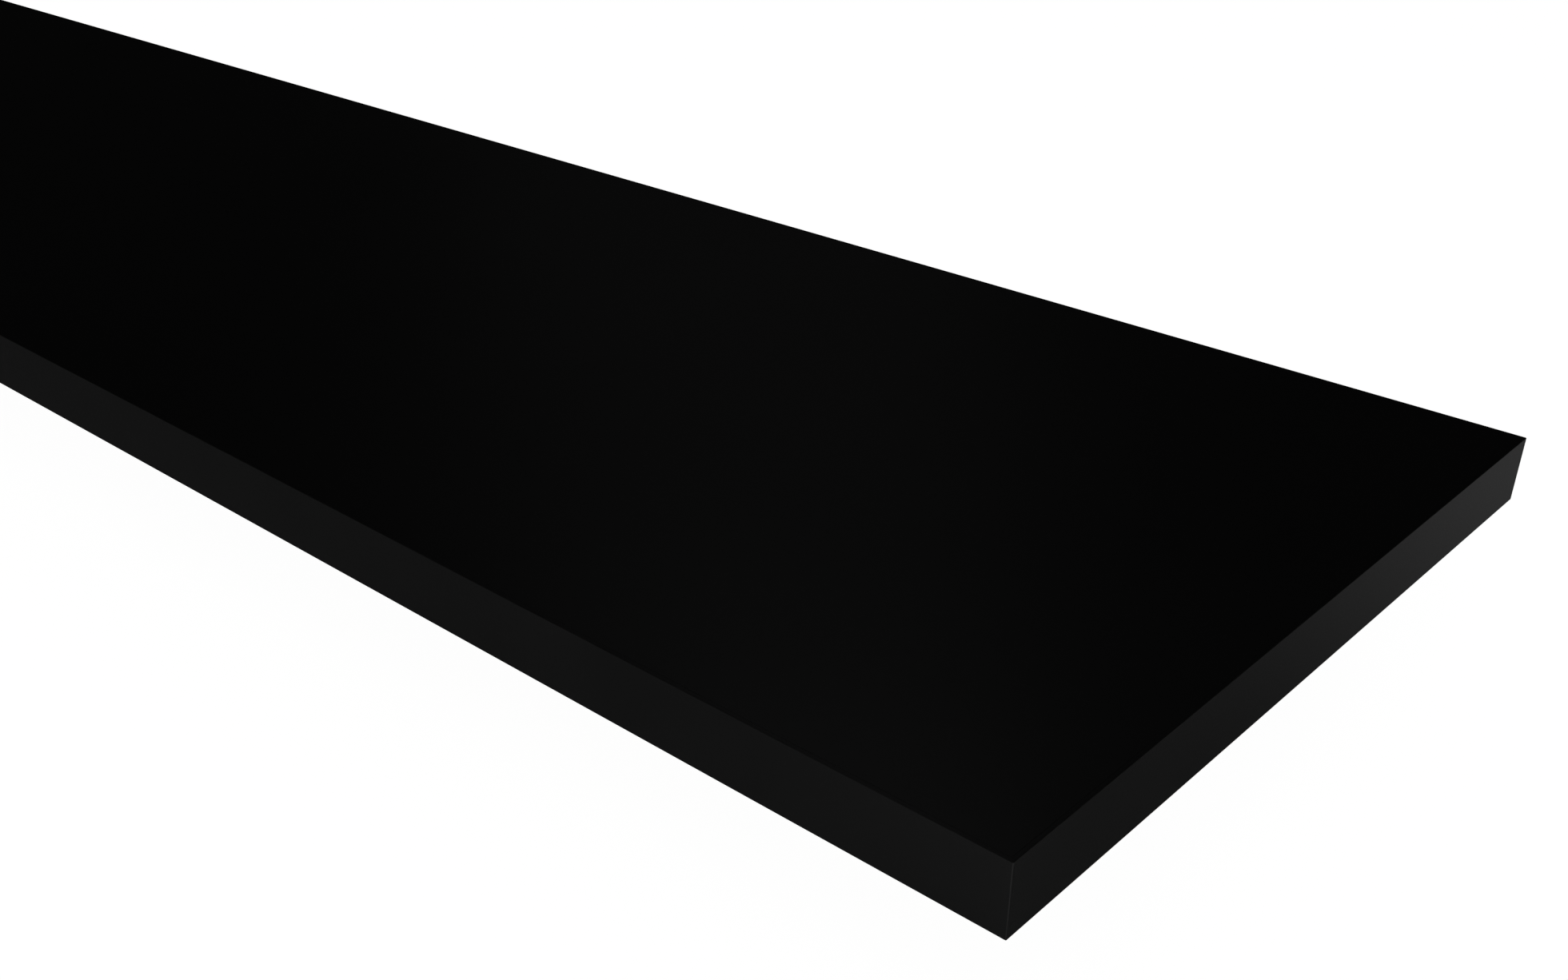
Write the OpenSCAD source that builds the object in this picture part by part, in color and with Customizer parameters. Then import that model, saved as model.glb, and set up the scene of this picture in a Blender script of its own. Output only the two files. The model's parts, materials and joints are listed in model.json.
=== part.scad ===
// Kick plate for a run of base cabinets: an edge-banded board whose back carries
// slotted rails, each with a sliding clip that snaps onto a round cabinet leg.
//
// Frame: the board lies on its clips with its face up. X runs along the board, Y runs
// up the board once it stands in use (+Y is the cabinet side, -Y the floor side), and
// +Z is the outward normal of the face. The origin is the centre of the footprint, on
// the surface that the clips rest on.

/* [Board] */
// Length along the run of cabinets
board_l = 900; // [700:10:1200]
// Height of the plate once it stands in use
board_w = 205; // [140:1:220]
// Thickness over both laminates
board_t = 16; // [15:0.5:22]
// Thickness of the face laminate and of the backing laminate
laminate_t = 0.5; // [0.3:0.1:0.8]
// Thickness of the plastic edge bands
band_t = 1; // [0.8:0.1:2]
// Radius of the trimmed arrises
arris_r = 0.2; // [0.2:0.1:0.6]

/* [Clips] */
// Diameter of the round cabinet leg that a clip holds
leg_d = 30; // [28:1:34]
// Distance from the back of the board to the near side of the leg
leg_gap = 13; // [13:0.5:20]
// Length of the jaws along the leg
jaw_l = 30; // [24:1:40]
// Wall thickness of the jaws
jaw_wall = 2.8; // [2.2:0.1:3.4]
// Half of the angle that the mouth of the jaws leaves open
mouth_angle = 55; // [45:1:60]
// Travel of a clip in its rail, each way from the middle
travel = 12; // [4:1:16]
// Distance from each end of the board to the middle of its outer rail
rail_inset = 90; // [60:5:200]

/* [Hidden] */
$fn = 64;

// Allowances for the booleans
cut = 1;                                // how far a cut runs past the surface that it opens
skin = 0.01;                            // the same for a countersink or recess, to keep its size
sink = 0.5;                             // how far joined shapes run into each other

// Jaws of the leg clip
jaw_in_r = leg_d / 2;
leg_axis_h = leg_gap + jaw_in_r;        // from the back of the board to the leg's axis
jaw_out_r = jaw_in_r + jaw_wall;
jaw_mid_r = (jaw_in_r + jaw_out_r) / 2;
bead_h = 0.3;
bead_r = jaw_wall / 2 + bead_h;         // bead at the tip of each jaw
flare_l = 5.5;                          // lead-in lip past the bead
flare_angle = 38;                       // its slope away from the line of entry
rib_w = 3;                              // stiffening rib round the back of the jaws
rib_h = 1.8;                            // its height at the root; it fades out round the sides

// Rail: a plate with a T-shaped channel for the foot of the clip
plate_t = 2.5;
channel_w = 26;
channel_h = 2.6;
lip_t = 1.8;
slot_w = 18;
wall_t = 3;
rail_h = plate_t + channel_h + lip_t;
foot_l = 28;
stop_gap = 0.5;                         // left between the foot and a stop at full travel
channel_l = foot_l + 2 * (travel + stop_gap);
stop_l = 3.5;                           // length of the end wall and of the latch ramp
track_l = channel_l + 2 * stop_l;
track_w = channel_w + 2 * wall_t;
track_corner_r = 2;
ear_r = 8;
ear_x = track_l / 2 + ear_r;            // the screw holes lie past the ends of the track

// Latch tongue that lets the foot in at one end and keeps it there
tongue_l = 15;
tongue_w = 10;
tongue_t = 1.3;
tongue_slit = 1;
latch_h = 1.2;
latch_crest = 1;                        // flat top of the latch, along the rail

// Foot, stem and saddle of the leg clip
side_play = 0.2;
foot_w = channel_w - 2 * side_play;
foot_play = 0.15;                       // above and below the foot
foot_t = channel_h - 2 * foot_play;
foot_z = plate_t + foot_play;
stem_w = slot_w - 4 * side_play;
shoulder_gap = 0.6;                     // between the lips and the shoulder
shoulder_z = rail_h + shoulder_gap;
shoulder_t = 1.6;
saddle_l = 22;
spine_l = 8;
cheek_t = 3;                            // each of the three cross ribs of the saddle
cheek_reach = 60;                       // how far round the jaws they reach, in degrees

// Countersunk chipboard screws, two to a rail
screw_r = 1.75;
head_r = 3.5;
head_h = 1.75;
screw_l = 15;                           // over all, from the flat of the head to the point
point_l = 4;
point_r = 0.2;
recess_l = 4.2;                         // cross recess in the head
recess_w = 0.9;
recess_h = 1.1;
pilot_play = 0.02;
clearance_r = 2.1;
head_play = 0.05;                       // between the head and its countersink

// Height of the back of the board above the surface under the clips
stand_h = leg_axis_h + jaw_mid_r * cos(mouth_angle) + flare_l * cos(flare_angle) + jaw_wall / 2;

// Plan size and levels of the core inside its bands and laminates
core_l = board_l - 2 * band_t;
core_w = board_w - 2 * band_t;
core_t = board_t - 2 * laminate_t;
backing_z = stand_h;
core_z = backing_z + laminate_t;
face_z = core_z + core_t;

rail_x = [-(board_l / 2 - rail_inset), 0, board_l / 2 - rail_inset];

// ---- shared shapes ----

// Rectangle with true arcs at its corners
module rounded_rect(l, w, r) {
    square([l - 2 * r, w], center = true);
    square([l, w - 2 * r], center = true);
    for (sx = [-1, 1], sy = [-1, 1])
        translate([sx * (l / 2 - r), sy * (w / 2 - r)]) circle(r);
}

// The finished board as one block, with every arris rounded
module board_envelope() {
    translate([0, 0, stand_h + board_t / 2])
        intersection() {
            linear_extrude(board_t, center = true)
                rounded_rect(board_l, board_w, arris_r);
            rotate([90, 0, 0]) linear_extrude(board_w, center = true)
                rounded_rect(board_l, board_t, arris_r);
            rotate([90, 0, 90]) linear_extrude(board_l, center = true)
                rounded_rect(board_w, board_t, arris_r);
        }
}

// Puts a shape drawn on the board's back, with z pointing away from the board, at x
module on_back(x) {
    translate([x, 0, stand_h]) rotate([180, 0, 0]) children();
}

// Puts a shape at both screws of the rail at x
module at_screws(x) {
    for (side = [-1, 1])
        on_back(x) translate([side * ear_x, 0, 0]) children();
}

// Plain holes that the screws have cut into the board from its back
module pilot_holes() {
    for (x = rail_x)
        at_screws(x)
            translate([0, 0, plate_t - screw_l - pilot_play])
                cylinder(h = screw_l, r = screw_r + pilot_play);
}

// ---- board ----

module sheet_of_core(z, t) {
    translate([-core_l / 2, -core_w / 2, z]) cube([core_l, core_w, t]);
}

module core_board() {
    color("tan")
        difference() {
            sheet_of_core(core_z, core_t);
            pilot_holes();
        }
}

module face_laminate() {
    color([0.03, 0.03, 0.03]) sheet_of_core(face_z, laminate_t);
}

module backing_laminate() {
    color([0.16, 0.12, 0.1])
        difference() {
            sheet_of_core(backing_z, laminate_t);
            pilot_holes();
        }
}

// Band on a long edge, over the ends of the end bands; side is 1 for the upper edge
module long_edge_band(side) {
    color([0.06, 0.06, 0.06])
        intersection() {
            board_envelope();
            translate([0, side * (board_w - band_t) / 2, stand_h + board_t / 2])
                cube([board_l + 2 * cut, band_t, board_t + 2 * cut], center = true);
        }
}

// Band on an end, between the long bands; side is 1 for the right end
module end_band(side) {
    color([0.06, 0.06, 0.06])
        intersection() {
            board_envelope();
            translate([side * (board_l - band_t) / 2, 0, stand_h + board_t / 2])
                cube([band_t, core_w, board_t + 2 * cut], center = true);
        }
}

// ---- rail ----

module rail_plate() {
    linear_extrude(plate_t) {
        square([2 * ear_x, 2 * ear_r], center = true);
        for (side = [-1, 1]) translate([side * ear_x, 0]) circle(ear_r);
    }
}

// Channel block, closed by a wall at its -X end and open at its +X end
module rail_track() {
    difference() {
        linear_extrude(rail_h) rounded_rect(track_l, track_w, track_corner_r);
        translate([-channel_l / 2, -channel_w / 2, plate_t])
            cube([track_l, channel_w, channel_h]);
        translate([-channel_l / 2, -slot_w / 2, plate_t])
            cube([track_l, slot_w, channel_h + lip_t + cut]);
    }
}

module screw_clearance() {
    translate([0, 0, -cut]) cylinder(h = plate_t + 2 * cut, r = clearance_r);
    translate([0, 0, plate_t - head_h - head_play])
        cylinder(h = head_h + head_play + skin, r1 = clearance_r, r2 = head_r + head_play);
}

// Slits round the tongue, and the hollow behind it that lets it bend
module tongue_cuts() {
    x0 = track_l / 2 - tongue_l;
    outer_w = tongue_w + 2 * tongue_slit;
    difference() {
        translate([x0, -outer_w / 2, -cut])
            cube([tongue_l + tongue_slit, outer_w, plate_t + 2 * cut]);
        translate([x0 - cut, -tongue_w / 2, plate_t - tongue_t])
            cube([tongue_l + cut, tongue_w, tongue_t]);
    }
}

// Ramp on the free end of the tongue, with its steep side towards the foot
module latch_ramp() {
    translate([channel_l / 2, tongue_w / 2, plate_t])
        rotate([90, 0, 0])
            linear_extrude(tongue_w)
                polygon([
                    [0, -sink], [0, latch_h], [latch_crest, latch_h], [stop_l, 0], [stop_l, -sink]
                ]);
}

module clip_rail(x) {
    color([0.1, 0.1, 0.1])
        on_back(x)
            difference() {
                union() {
                    difference() {
                        union() {
                            rail_plate();
                            rail_track();
                        }
                        tongue_cuts();
                    }
                    latch_ramp();
                }
                for (side = [-1, 1]) translate([side * ear_x, 0, 0]) screw_clearance();
            }
}

// ---- leg clip ----

// A flat outline in X and Z, drawn round the leg's axis and drawn out along Y
module round_leg(w) {
    translate([0, w / 2, leg_axis_h]) rotate([90, 0, 0]) linear_extrude(w) children();
}

// The open sector of the mouth, on the side away from the board
module mouth() {
    reach = 2 * jaw_out_r;
    polygon([[0, 0], [reach * tan(mouth_angle), reach], [-reach * tan(mouth_angle), reach]]);
}

// Bead at the end of a jaw, and the lip that leads the leg in
module jaw_tip(side) {
    translate([side * jaw_mid_r * sin(mouth_angle), jaw_mid_r * cos(mouth_angle)]) {
        circle(bead_r);
        rotate(-side * flare_angle) {
            translate([-jaw_wall / 2, 0]) square([jaw_wall, flare_l]);
            translate([0, flare_l]) circle(jaw_wall / 2);
        }
    }
}

module jaw_outline() {
    difference() {
        union() {
            difference() {
                circle(jaw_out_r);
                mouth();
            }
            for (side = [-1, 1]) jaw_tip(side);
        }
        circle(jaw_in_r);
    }
}

// Crescent that stands proud of the jaws round their root and ends inside their walls
module jaw_rib_outline() {
    difference() {
        translate([0, -rib_h]) circle(jaw_out_r);
        circle(jaw_mid_r);
        translate([-2 * jaw_out_r, jaw_wall]) square(4 * jaw_out_r);
    }
}

// Cross rib of the saddle, from the shoulder to the flanks of the jaws
module cheek_outline() {
    base_y = shoulder_z - leg_axis_h;
    difference() {
        polygon([
            [-saddle_l / 2, base_y], [saddle_l / 2, base_y],
            [jaw_mid_r * sin(cheek_reach), -jaw_mid_r * cos(cheek_reach)],
            [-jaw_mid_r * sin(cheek_reach), -jaw_mid_r * cos(cheek_reach)]
        ]);
        circle(jaw_mid_r);
    }
}

module clip_foot() {
    translate([-foot_l / 2, -foot_w / 2, foot_z]) cube([foot_l, foot_w, foot_t]);
    translate([-foot_l / 2, -stem_w / 2, foot_z]) cube([foot_l, stem_w, shoulder_z - foot_z + sink]);
}

module clip_saddle() {
    translate([-foot_l / 2, -jaw_l / 2, shoulder_z]) cube([foot_l, jaw_l, shoulder_t]);
    translate([-spine_l / 2, -jaw_l / 2, shoulder_z])
        cube([spine_l, jaw_l, leg_axis_h - jaw_mid_r - shoulder_z]);
    for (y = [-1, 0, 1] * (jaw_l - cheek_t) / 2)
        translate([0, y, 0]) round_leg(cheek_t) cheek_outline();
}

module leg_clip(x) {
    color("lightgray")
        on_back(x) {
            clip_foot();
            clip_saddle();
            round_leg(jaw_l) jaw_outline();
            for (y = [-1, 1] * jaw_l / 4)
                translate([0, y, 0]) round_leg(rib_w) jaw_rib_outline();
        }
}

// ---- screws ----

module screw() {
    shank_l = screw_l - head_h - point_l;
    translate([0, 0, plate_t])
        difference() {
            union() {
                translate([0, 0, -head_h]) cylinder(h = head_h, r1 = screw_r, r2 = head_r);
                translate([0, 0, -head_h - shank_l]) cylinder(h = shank_l, r = screw_r);
                translate([0, 0, -screw_l]) cylinder(h = point_l, r1 = point_r, r2 = screw_r);
            }
            for (turn = [0, 90])
                rotate(turn) translate([0, 0, -recess_h / 2 + skin])
                    cube([recess_l, recess_w, recess_h + 2 * skin], center = true);
        }
}

module rail_screws() {
    color("silver")
        for (x = rail_x) at_screws(x) screw();
}

core_board();
face_laminate();
backing_laminate();
long_edge_band(1);  // upper_edge_band
long_edge_band(-1);  // lower_edge_band
end_band(-1);  // left_end_band
end_band(1);  // right_end_band
clip_rail(rail_x[0]);  // left_clip_rail
clip_rail(rail_x[1]);  // centre_clip_rail
clip_rail(rail_x[2]);  // right_clip_rail
leg_clip(rail_x[0]);  // left_leg_clip
leg_clip(rail_x[1]);  // centre_leg_clip
leg_clip(rail_x[2]);  // right_leg_clip
rail_screws();
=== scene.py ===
import json
from math import cos, radians, sin

import bmesh
import bpy
from mathutils import Matrix, Vector
from mathutils.geometry import intersect_point_line


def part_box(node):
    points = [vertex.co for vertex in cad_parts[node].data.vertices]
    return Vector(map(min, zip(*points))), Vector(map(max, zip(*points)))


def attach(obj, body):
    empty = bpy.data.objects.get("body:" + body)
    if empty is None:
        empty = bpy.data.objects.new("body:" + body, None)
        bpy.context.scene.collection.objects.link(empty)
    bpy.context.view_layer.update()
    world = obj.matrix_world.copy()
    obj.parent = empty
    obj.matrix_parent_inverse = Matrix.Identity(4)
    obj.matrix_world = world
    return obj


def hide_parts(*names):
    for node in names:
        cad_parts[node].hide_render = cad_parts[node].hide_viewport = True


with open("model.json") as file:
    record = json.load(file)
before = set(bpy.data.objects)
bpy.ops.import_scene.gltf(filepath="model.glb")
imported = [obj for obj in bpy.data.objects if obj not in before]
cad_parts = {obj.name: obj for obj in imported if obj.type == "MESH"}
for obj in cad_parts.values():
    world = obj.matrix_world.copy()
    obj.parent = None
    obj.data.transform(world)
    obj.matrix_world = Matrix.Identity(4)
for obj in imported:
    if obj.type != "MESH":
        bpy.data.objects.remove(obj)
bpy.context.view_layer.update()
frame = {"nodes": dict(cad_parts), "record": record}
nodes = frame["nodes"]

MM = 0.001                      # all lengths are in metres

# Finish of the board's pieces
ARRIS_R = 0.2 * MM              # the bands' outer arrises, as in the CAD
ARRIS_SEGMENTS = 6
SEAM_R = 0.04 * MM              # eased edges where two sheets meet
SEAM_SEGMENTS = 2
SQUARE_ANGLE = radians(60)      # of the edges in a block, only the square ones turn more than this

# Finish of the moulded clips and rails
MOULD_R = 0.15 * MM
MOULD_SEGMENTS = 2
FLAT_ANGLE = radians(0.5)       # faces that meet at less than this are one flat face
CREASE_ANGLE = radians(25)      # an edge sharper than this was an edge of the mould
ALONGSIDE = 0.9                 # edges run alongside when the cosine between them is more than this

WELD = 0.001 * MM               # points closer than this are the same point
SMOOTH_ANGLE = radians(20)      # the board's faces are shaded as one where they meet at less than this

# Where the camera stands and looks
LENS = 38.34
LENS_SHIFT = 0.1
CAMERA_PLACE = Vector((0.5174, -0.8398, 0.806))     # from the near corner, in widths of the board
CAMERA_AZIMUTH = 41.69          # of its line of sight, in degrees
CAMERA_ELEVATION = -32.31
CAMERA_ROLL = radians(0.08)

# What the camera sees of the studio
SKY_SEEN = 1.0
FLOOR_SEEN = 0.975
FLOOR_GREY = 0.15               # how much of the lights the floor shows, and so how dark a shadow gets

# What the object mirrors of the studio
SKY_DARK = 0.005
SKY_BRIGHT = 0.09
SKY_PEAK = (222, 25)            # azimuth and elevation of the brightest sky, at the front right
SKY_START = -0.2                # the sky brightens between these cosines of the angle from its peak
SKY_END = 0.8
# The floor's glow that only reflections see is painted: pools of light, dim in front of the board and
# bright away from it
FLOOR_DARK = 0.0396             # in front of the object
FLOOR_POOL = 0.176              # painted pool of light behind it
POOL_START = -0.09              # how far past the board's far edge the floor starts to brighten
POOL_END = 0.14
CORNER_POOL = 0.42              # painted pool of light, added beyond the near corner
CORNER_START = 0.03             # how far beyond it, measured as x - y
CORNER_END = 0.1
FLOOR_UNDER = 0.3               # painted glow, added beneath the object

# What lights the object
SKY_LIGHT = 0.15
FLOOR_LIGHT = 2.95
FLOOR_SHADE = 1.0               # painted shade: the floor sheds less light beneath the object
SHADE_FADE = 0.2                # width of the shade's soft rim, in widths of the board
PANEL_DISTANCE = 1.6
PANEL_AIM = 0.6                 # how far in from the right end they point, in widths of the board

FLOOR_REACH = 8                 # from the middle to each side


# ---- places, all from the frame ----

def board_box():
    """Lowest and highest corner of the finished board, without its clips."""
    boxes = [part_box(n) for n in ("upper_edge_band", "lower_edge_band")]
    lo = Vector(min(b[0][i] for b in boxes) for i in range(3))
    hi = Vector(max(b[1][i] for b in boxes) for i in range(3))
    return lo, hi


BOARD_LO, BOARD_HI = board_box()
BOARD_W = (BOARD_HI - BOARD_LO).y
NEAR_CORNER = Vector((BOARD_HI.x, BOARD_LO.y, BOARD_HI.z))


# ---- node materials ----

class Nodes:
    """A few short calls for wiring a node tree."""

    def __init__(self, owner, output="ShaderNodeOutputMaterial"):
        owner.use_nodes = True
        self.owner = owner
        self.tree = owner.node_tree
        self.tree.nodes.clear()
        self.output = self.add(output)

    def add(self, kind, **values):
        node = self.tree.nodes.new(kind)
        for key, value in values.items():
            setattr(node, key, value)
        return node

    def link(self, source, target):
        self.tree.links.new(source, target)

    def object_coords(self, scale=(1, 1, 1)):
        """Object coordinates in metres, stretched by scale."""
        coords = self.add("ShaderNodeTexCoord")
        mapping = self.add("ShaderNodeMapping")
        mapping.inputs["Scale"].default_value = scale
        self.link(coords.outputs["Object"], mapping.inputs["Vector"])
        return mapping.outputs["Vector"]

    def along(self, vector, axis):
        """How far a vector reaches along an axis."""
        node = self.add("ShaderNodeVectorMath", operation="DOT_PRODUCT")
        node.inputs[1].default_value = axis
        self.link(vector, node.inputs[0])
        return node.outputs["Value"]

    def math(self, operation, *sockets):
        node = self.add("ShaderNodeMath", operation=operation)
        for socket, place in zip(sockets, node.inputs):
            self.link(socket, place)
        return node.outputs["Value"]

    def noise(self, vector, scale, detail, roughness=0.5):
        node = self.add("ShaderNodeTexNoise")
        node.inputs["Scale"].default_value = scale
        node.inputs["Detail"].default_value = detail
        node.inputs["Roughness"].default_value = roughness
        self.link(vector, node.inputs["Vector"])
        return node.outputs["Fac"]

    def remap(self, value, low, high, from_low=0.3, from_high=0.7, curve="LINEAR"):
        node = self.add("ShaderNodeMapRange", interpolation_type=curve)
        node.inputs["From Min"].default_value = from_low
        node.inputs["From Max"].default_value = from_high
        node.inputs["To Min"].default_value = low
        node.inputs["To Max"].default_value = high
        self.link(value, node.inputs["Value"])
        return node.outputs["Result"]

    def ramp(self, value, low, high, from_low=0.3, from_high=0.7):
        """A colour between low and high, by value."""
        node = self.add("ShaderNodeValToRGB")
        node.color_ramp.elements[0].position = from_low
        node.color_ramp.elements[0].color = (*low, 1)
        node.color_ramp.elements[1].position = from_high
        node.color_ramp.elements[1].color = (*high, 1)
        self.link(value, node.inputs["Fac"])
        return node.outputs["Color"]

    def bump(self, height, distance, over=None):
        node = self.add("ShaderNodeBump")
        node.inputs["Distance"].default_value = distance
        self.link(height, node.inputs["Height"])
        if over is not None:
            self.link(over, node.inputs["Normal"])
        return node.outputs["Normal"]

    def principled(self, colour, roughness, normal, specular=0.5, metallic=0.0):
        shader = self.add("ShaderNodeBsdfPrincipled")
        shader.inputs["Specular IOR Level"].default_value = specular
        shader.inputs["Metallic"].default_value = metallic
        self.link(colour, shader.inputs["Base Color"])
        self.link(roughness, shader.inputs["Roughness"])
        self.link(normal, shader.inputs["Normal"])
        self.link(shader.outputs["BSDF"], self.output.inputs["Surface"])
        return self.owner

    def glow(self, kind, strength):
        """White light of an emission or background shader; strength is a number or a socket."""
        shader = self.add(kind)
        shader.inputs["Color"].default_value = (*grey(1), 1)
        if isinstance(strength, float):
            shader.inputs["Strength"].default_value = strength
        else:
            self.link(strength, shader.inputs["Strength"])
        return shader.outputs[0]

    def mix(self, factor, first, second):
        node = self.add("ShaderNodeMixShader")
        self.link(factor, node.inputs["Fac"])
        self.link(first, node.inputs[1])
        self.link(second, node.inputs[2])
        return node.outputs["Shader"]

    def by_ray(self, seen, mirrored, lighting):
        """One shader for camera rays, one for glossy rays, and one for the rest."""
        rays = self.add("ShaderNodeLightPath")
        unseen = self.mix(rays.outputs["Is Glossy Ray"], lighting, mirrored)
        return self.mix(rays.outputs["Is Camera Ray"], unseen, seen)


def material(name):
    return Nodes(bpy.data.materials.new(name))


def grey(value):
    return (value, value, value)


BLACK = grey(0.0027), grey(0.0033)


def black_laminate():
    """Satin black melamine: a fine pearl texture, pressed by the plate it was cured on."""
    n = material("black_laminate")
    coords = n.object_coords()
    pearl = n.noise(coords, 2600, detail=3, roughness=0.6)
    orange_peel = n.noise(coords, 420, detail=1)
    clouds = n.noise(coords, 14, detail=3)
    colour = n.ramp(clouds, *BLACK)
    roughness = n.remap(pearl, 0.34, 0.4)
    normal = n.bump(pearl, 0.006 * MM, over=n.bump(orange_peel, 0.01 * MM))
    return n.principled(colour, roughness, normal, specular=0.35)


def black_band(name, scale):
    """Satin black plastic band, with faint streaks where it was scraped along its length."""
    n = material(name)
    streaks = n.noise(n.object_coords(scale), 900, detail=2)
    coords = n.object_coords()
    grain = n.noise(coords, 2200, detail=3, roughness=0.6)
    clouds = n.noise(coords, 40, detail=3)
    colour = n.ramp(clouds, *BLACK)
    roughness = n.remap(grain, 0.34, 0.41)
    normal = n.bump(grain, 0.006 * MM, over=n.bump(streaks, 0.003 * MM))
    return n.principled(colour, roughness, normal, specular=0.35)


def backing_paper():
    """Matt dark balancing laminate with a soft fibre pattern."""
    n = material("backing_paper")
    coords = n.object_coords()
    fibres = n.noise(coords, 55, detail=8, roughness=0.7)
    grain = n.noise(coords, 1800, detail=3)
    colour = n.ramp(fibres, (0.014, 0.0122, 0.011), (0.0185, 0.0163, 0.0148), 0.35, 0.65)
    roughness = n.remap(grain, 0.55, 0.7)
    normal = n.bump(grain, 0.012 * MM)
    return n.principled(colour, roughness, normal, specular=0.3)


def pressed_fibre():
    """Medium-density fibreboard."""
    n = material("board_core")
    coords = n.object_coords()
    specks = n.noise(coords, 900, detail=6, roughness=0.7)
    layers = n.noise(n.object_coords((1, 1, 12)), 60, detail=4)
    colour = n.ramp(specks, (0.25, 0.15, 0.08), (0.42, 0.27, 0.15))
    roughness = n.remap(layers, 0.75, 0.95)
    normal = n.bump(specks, 0.04 * MM)
    return n.principled(colour, roughness, normal, specular=0.2)


def moulded_plastic(name, dark, light):
    """Injection-moulded plastic with a fine spark-eroded skin."""
    n = material(name)
    coords = n.object_coords()
    skin = n.noise(coords, 3200, detail=3, roughness=0.65)
    flow = n.noise(n.object_coords((1, 1, 0.4)), 70, detail=3)
    colour = n.ramp(flow, dark, light)
    roughness = n.remap(skin, 0.38, 0.55)
    normal = n.bump(skin, 0.012 * MM)
    return n.principled(colour, roughness, normal, specular=0.45)


def zinc_plate():
    """Bright zinc on steel, a little cloudy."""
    n = material("screw_steel")
    coords = n.object_coords()
    clouds = n.noise(coords, 700, detail=4)
    scratches = n.noise(n.object_coords((1, 8, 1)), 2400, detail=2)
    colour = n.ramp(clouds, (0.5, 0.49, 0.46), (0.72, 0.71, 0.67))
    roughness = n.remap(scratches, 0.22, 0.42)
    normal = n.bump(scratches, 0.004 * MM)
    return n.principled(colour, roughness, normal, metallic=1.0)


# ---- pieces ----

def new_piece(name, bm, finish, node):
    """Turns a bmesh into a piece that stands for a CAD node and rides on its body."""
    mesh = bpy.data.meshes.new(name)
    bm.to_mesh(mesh)
    bm.free()
    mesh.materials.append(finish)
    piece = bpy.data.objects.new(name, mesh)
    bpy.context.scene.collection.objects.link(piece)
    even = piece.modifiers.new("even_shading", "WEIGHTED_NORMAL")
    even.weight = 100       # large faces decide
    even.keep_sharp = True
    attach(piece, body_of(node))
    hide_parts(node)


def body_of(node):
    return next(body for body, members in frame["record"]["behaviour"]["bodies"].items() if node in members)


def block(lo, hi):
    """A plain block as a bmesh, to be eased and rounded."""
    bm = bmesh.new()
    size, centre = hi - lo, (lo + hi) / 2
    bmesh.ops.create_cube(bm, size=1, matrix=Matrix.LocRotScale(centre, None, size))
    return bm


def round_edges(bm, edges, radius, segments, clamp=True):
    bmesh.ops.bevel(bm, geom=list(edges), offset=radius, offset_type="OFFSET", segments=segments,
                    profile=0.5, affect="EDGES", clamp_overlap=clamp)


def creases(bm, angle):
    """Edges where faces meet at more than angle."""
    return [e for e in bm.edges if e.is_manifold and e.calc_face_angle(0) > angle]


def shade(bm, angle=SMOOTH_ANGLE):
    """Smooth shading, kept sharp where faces meet at more than angle."""
    for face in bm.faces:
        face.smooth = True
    for edge in bm.edges:
        edge.smooth = edge.is_manifold and edge.calc_face_angle(0) < angle


def edges_on(bm, planes, count):
    """Edges that lie in at least count of the given planes, each (axis, value)."""
    def on(vertex, axis, value):
        return abs(vertex.co[axis] - value) < WELD

    def hits(edge):
        return sum(all(on(v, axis, value) for v in edge.verts) for axis, value in planes)

    return [e for e in bm.edges if hits(e) >= count]


def board_band(node, finish):
    """An edge band, rounded where it is an outer arris of the board and eased at its seams."""
    lo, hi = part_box(node)
    bm = block(lo, hi)
    outer = [(axis, corner[axis]) for corner in (BOARD_LO, BOARD_HI) for axis in range(3)]
    round_edges(bm, edges_on(bm, outer, 2), ARRIS_R, ARRIS_SEGMENTS)
    round_edges(bm, creases(bm, SQUARE_ANGLE), SEAM_R, SEAM_SEGMENTS)
    shade(bm)
    new_piece(f"{node}_fine", bm, finish, node)


def face_sheet(finish):
    """The face laminate, with its edges eased where they meet the bands."""
    lo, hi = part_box("face_laminate")
    bm = block(lo, hi)
    round_edges(bm, edges_on(bm, [(2, hi.z)], 1), SEAM_R, SEAM_SEGMENTS)
    shade(bm)
    new_piece("face_laminate_fine", bm, finish, "face_laminate")


def crowded(edge, edges, room):
    """Whether another edge runs alongside this one, too close for both to be rounded."""
    a, b = (v.co for v in edge.verts)
    middle, along = (a + b) / 2, (b - a).normalized()
    for other in edges:
        c, d = (v.co for v in other.verts)
        if other is edge or abs(along.dot((d - c).normalized())) < ALONGSIDE:
            continue
        nearest, share = intersect_point_line(middle, c, d)
        if 0 <= share <= 1 and (nearest - middle).length < room:
            return True
    return False


def moulded(node, finish):
    """A moulded part: the CAD shape with the small radius that a mould leaves on its edges."""
    bm = bmesh.new()
    bm.from_mesh(nodes[node].data)
    bmesh.ops.remove_doubles(bm, verts=bm.verts, dist=WELD)
    bmesh.ops.dissolve_limit(bm, angle_limit=FLAT_ANGLE, verts=bm.verts, edges=bm.edges)
    edges = creases(bm, CREASE_ANGLE)
    free = [e for e in edges if not crowded(e, edges, 2 * MOULD_R)]
    round_edges(bm, free, MOULD_R, MOULD_SEGMENTS, clamp=False)
    bmesh.ops.dissolve_degenerate(bm, dist=WELD, edges=bm.edges)
    shade(bm, CREASE_ANGLE)
    new_piece(f"{node}_fine", bm, finish, node)


def dress(node, finish):
    """Gives a CAD node that is kept as it is its material."""
    mesh = nodes[node].data
    mesh.materials.clear()
    mesh.materials.append(finish)


# ---- studio ----

def direction(azimuth, elevation):
    """Unit vector towards a compass direction: azimuth 0 is +Y, and 90 is -X."""
    a, e = radians(azimuth), radians(elevation)
    return Vector((-sin(a) * cos(e), cos(a) * cos(e), sin(e)))


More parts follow.
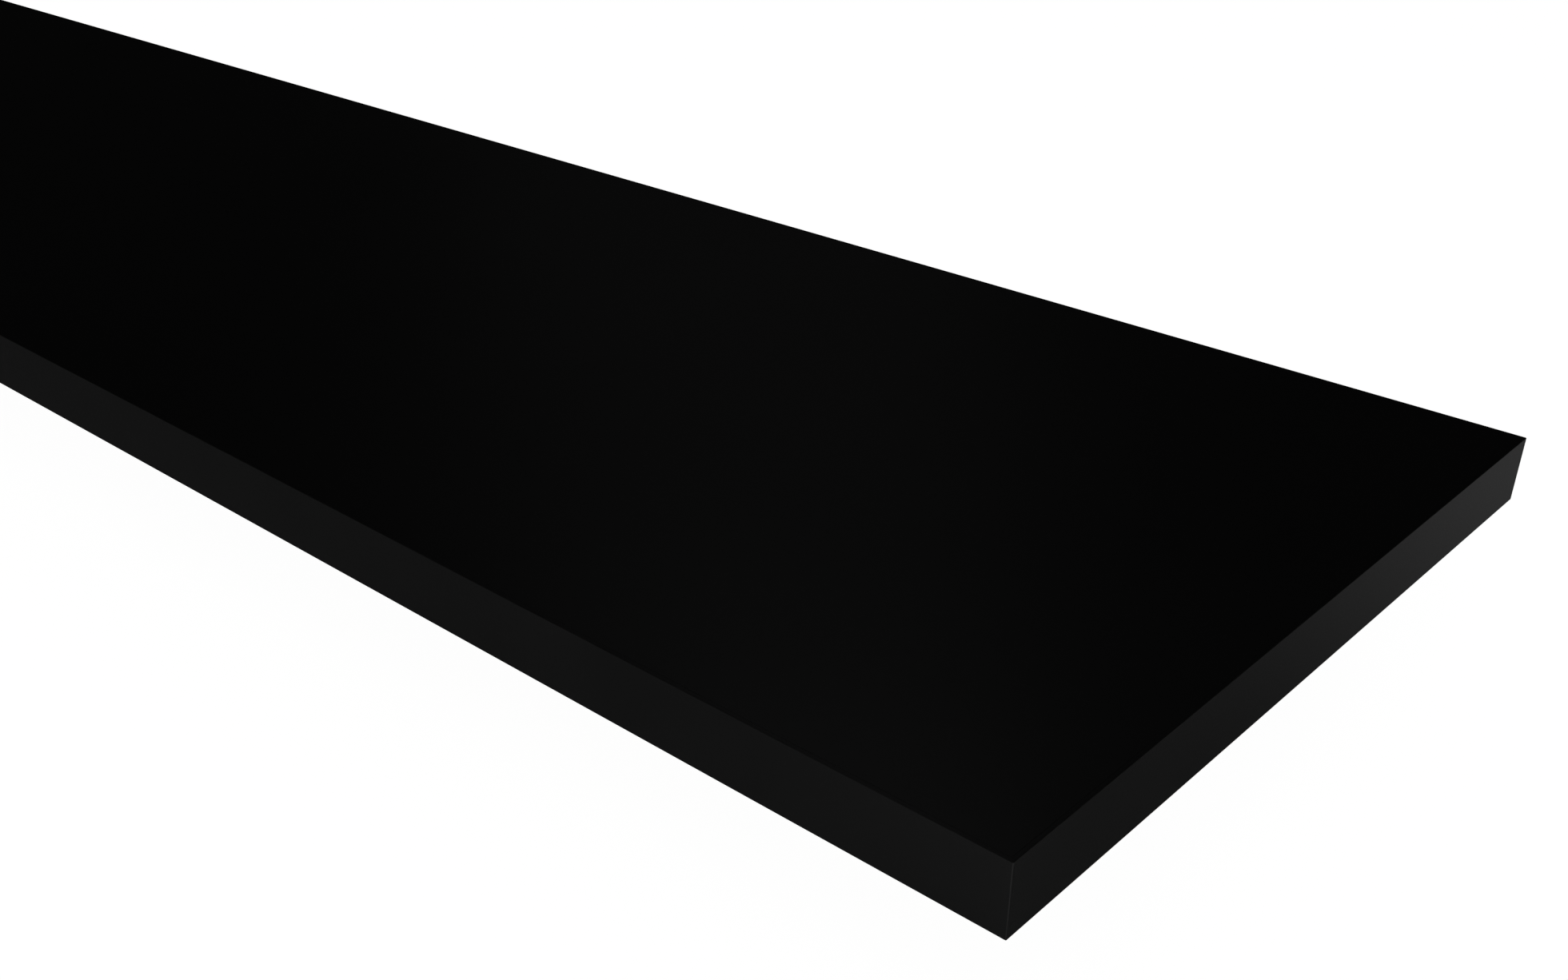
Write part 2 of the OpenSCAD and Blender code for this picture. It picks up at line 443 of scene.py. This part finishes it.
def soft_light(name, azimuth, elevation, size, power):
    """A panel that faces the right part of the board, which the photograph shows."""
    target = Vector((BOARD_HI.x - PANEL_AIM * BOARD_W, 0, BOARD_HI.z))
    light = bpy.data.lights.new(name, "AREA")
    light.shape = "RECTANGLE"
    light.size, light.size_y = size
    light.energy = power
    obj = bpy.data.objects.new(name, light)
    obj.location = target + PANEL_DISTANCE * direction(azimuth, elevation)
    obj.rotation_mode = "QUATERNION"
    obj.rotation_quaternion = (target - obj.location).to_track_quat("-Z", "Y")
    obj.visible_camera = False
    bpy.context.scene.collection.objects.link(obj)


def studio_lights():
    soft_light("sheen_panel", 44, 31, size=(0.65, 1.0), power=0.0345)
    soft_light("upper_sheen_panel", 42, 49, size=(0.5, 0.3), power=0.156)
    soft_light("key_panel", 215, 50, size=(0.9, 0.9), power=2.4)


def beneath_board(n, x, y):
    """1 on the floor beneath the board, and fading to 0 at its outline: where the floor gets its painted
    shade and painted glow.
    """
    fade = SHADE_FADE * BOARD_W
    across, along = (n.remap(n.math("ABSOLUTE", d), 1, 0, edge - fade, edge, "SMOOTHSTEP")
                     for d, edge in ((y, BOARD_HI.y), (x, BOARD_HI.x)))
    return n.math("MINIMUM", across, along)


def floor_light(n):
    """What the object mirrors of the floor, which are painted pools of light, and what the floor sheds on
    it.
    """
    place = n.object_coords()
    x, y = (n.along(place, axis) for axis in ((1, 0, 0), (0, 1, 0)))
    beneath = beneath_board(n, x, y)
    far_edge = BOARD_HI.y
    behind = n.remap(y, FLOOR_DARK, FLOOR_POOL, far_edge + POOL_START, far_edge + POOL_END, "SMOOTHSTEP")
    corner = BOARD_HI.x - BOARD_LO.y
    to_corner = n.along(place, (1, -1, 0))
    in_front = n.remap(to_corner, 0, CORNER_POOL, corner + CORNER_START, corner + CORNER_END, "SMOOTHSTEP")
    under = n.remap(beneath, 0, FLOOR_UNDER, 0, 1)
    # Painted reflections: the pools behind, beyond the corner and beneath add up to what glossy rays see of
    # the floor
    mirrored = n.math("ADD", n.math("ADD", behind, in_front), under)
    # Painted shade: beneath the board the floor sheds FLOOR_SHADE instead of FLOOR_LIGHT
    return mirrored, n.remap(beneath, FLOOR_LIGHT, FLOOR_SHADE, 0, 1)


def white_floor():
    """White to the camera, with room left for a faint shadow, and clear from below."""
    n = material("white_floor")
    sheet = n.add("ShaderNodeBsdfDiffuse")
    sheet.inputs["Color"].default_value = (*grey(FLOOR_GREY), 1)
    seen = n.add("ShaderNodeAddShader")
    n.link(sheet.outputs["BSDF"], seen.inputs[0])
    n.link(n.glow("ShaderNodeEmission", FLOOR_SEEN), seen.inputs[1])
    mirrored, lighting = (n.glow("ShaderNodeEmission", strength) for strength in floor_light(n))
    from_above = n.by_ray(seen.outputs["Shader"], mirrored, lighting)
    side = n.add("ShaderNodeNewGeometry").outputs["Backfacing"]
    clear = n.add("ShaderNodeBsdfTransparent").outputs["BSDF"]
    n.link(n.mix(side, from_above, clear), n.output.inputs["Surface"])
    n.owner.cycles.emission_sampling = "NONE"
    return n.owner


def floor():
    bm = bmesh.new()
    bmesh.ops.create_grid(bm, x_segments=1, y_segments=1, size=FLOOR_REACH)
    mesh = bpy.data.meshes.new("floor")
    bm.to_mesh(mesh)
    bm.free()
    mesh.materials.append(white_floor())
    obj = bpy.data.objects.new("floor", mesh)
    bpy.context.scene.collection.objects.link(obj)


def white_world():
    """White to the camera; the object mirrors a dim studio that grows bright to the front right."""
    world = bpy.data.worlds.new("studio")
    bpy.context.scene.world = world
    n = Nodes(world, "ShaderNodeOutputWorld")
    toward = n.along(n.add("ShaderNodeTexCoord").outputs["Generated"], direction(*SKY_PEAK))
    studio = n.remap(toward, SKY_DARK, SKY_BRIGHT, SKY_START, SKY_END, "SMOOTHSTEP")
    shaders = [n.glow("ShaderNodeBackground", strength) for strength in (SKY_SEEN, studio, SKY_LIGHT)]
    n.link(n.by_ray(*shaders), n.output.inputs["Surface"])
    world.cycles.sampling_method = "NONE"


def camera():
    data = bpy.data.cameras.new("camera")
    data.sensor_width = 36
    data.lens = LENS
    data.shift_y = LENS_SHIFT
    data.clip_start, data.clip_end = 0.01, 50
    obj = bpy.data.objects.new("camera", data)
    obj.location = NEAR_CORNER + BOARD_W * CAMERA_PLACE
    forward = direction(CAMERA_AZIMUTH, CAMERA_ELEVATION)
    roll = Matrix.Rotation(CAMERA_ROLL, 3, "Z")
    obj.rotation_mode = "QUATERNION"
    obj.rotation_quaternion = (forward.to_track_quat("-Z", "Y").to_matrix() @ roll).to_quaternion()
    bpy.context.scene.collection.objects.link(obj)
    bpy.context.scene.camera = obj


def main():
    camera()
    bpy.context.scene.view_settings.view_transform = "Standard"
    white_world()
    floor()
    studio_lights()

    face_sheet(black_laminate())
    long_band = black_band("black_edge_band_long", (0.03, 1, 1))
    end_band = black_band("black_edge_band_end", (1, 0.03, 1))
    for node in ("upper_edge_band", "lower_edge_band"):
        board_band(node, long_band)
    for node in ("left_end_band", "right_end_band"):
        board_band(node, end_band)
    dress("core_board", pressed_fibre())
    dress("backing_laminate", backing_paper())
    rail_plastic = moulded_plastic("rail_plastic", (0.022, 0.022, 0.0228), (0.03, 0.03, 0.031))
    clip_plastic = moulded_plastic("clip_plastic", (0.46, 0.46, 0.44), (0.54, 0.54, 0.52))
    for side in ("left", "centre", "right"):
        moulded(f"{side}_clip_rail", rail_plastic)
        moulded(f"{side}_leg_clip", clip_plastic)
    dress("rail_screws", zinc_plate())


main()
